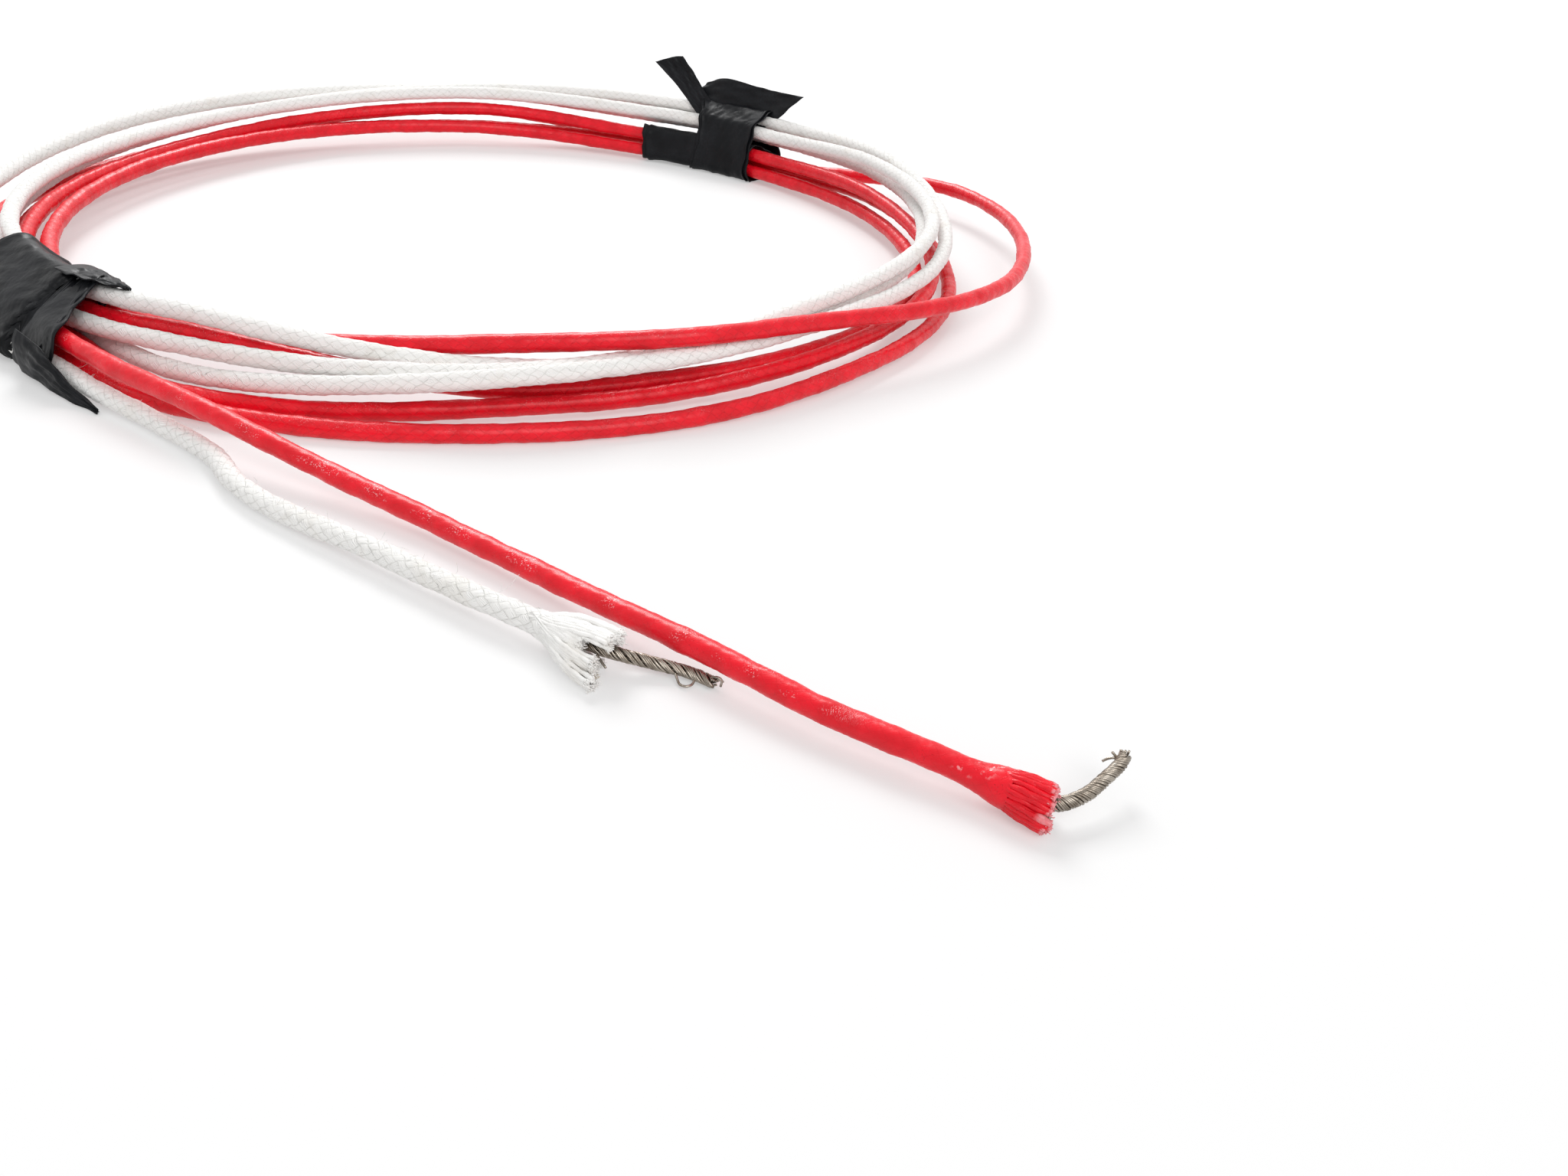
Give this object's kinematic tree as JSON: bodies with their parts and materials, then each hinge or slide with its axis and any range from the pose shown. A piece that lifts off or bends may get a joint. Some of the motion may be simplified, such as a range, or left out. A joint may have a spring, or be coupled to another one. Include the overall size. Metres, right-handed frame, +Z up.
{
  "type": "hook-up wire coil",
  "caption": "Small flat coil of red and white braided hook-up wire held by two black tape ties, each lead ending in frayed braid and a bare twisted conductor",
  "frame": {"origin": "centre of the coil's ring, in the plane that the coil lies on", "axes": "+Z up out of that plane; the free leads run toward -Y and a little +X; the left tie lies at 222 degrees from +X and the rear tie at about 66"},
  "size_m": [0.1335, 0.1703, 0.0155],
  "materials": {
    "red_braid": "lacquered braid, semi-gloss",
    "white_braid": "cotton braid, matt",
    "tinned_copper": "tinned stranded copper, dull",
    "black_tape": "vinyl tape, satin, creased"
  },
  "bodies": {
    "root": {"red_braid_coil": "red_braid", "red_braid_lead": "red_braid", "red_lead_fray": "red_braid", "red_conductor": "tinned_copper", "white_braid_coil": "white_braid", "white_braid_lead": "white_braid", "white_lead_fray": "white_braid", "white_conductor": "tinned_copper", "left_tie": "black_tape", "rear_tie": "black_tape"}
  },
  "joints": []
}
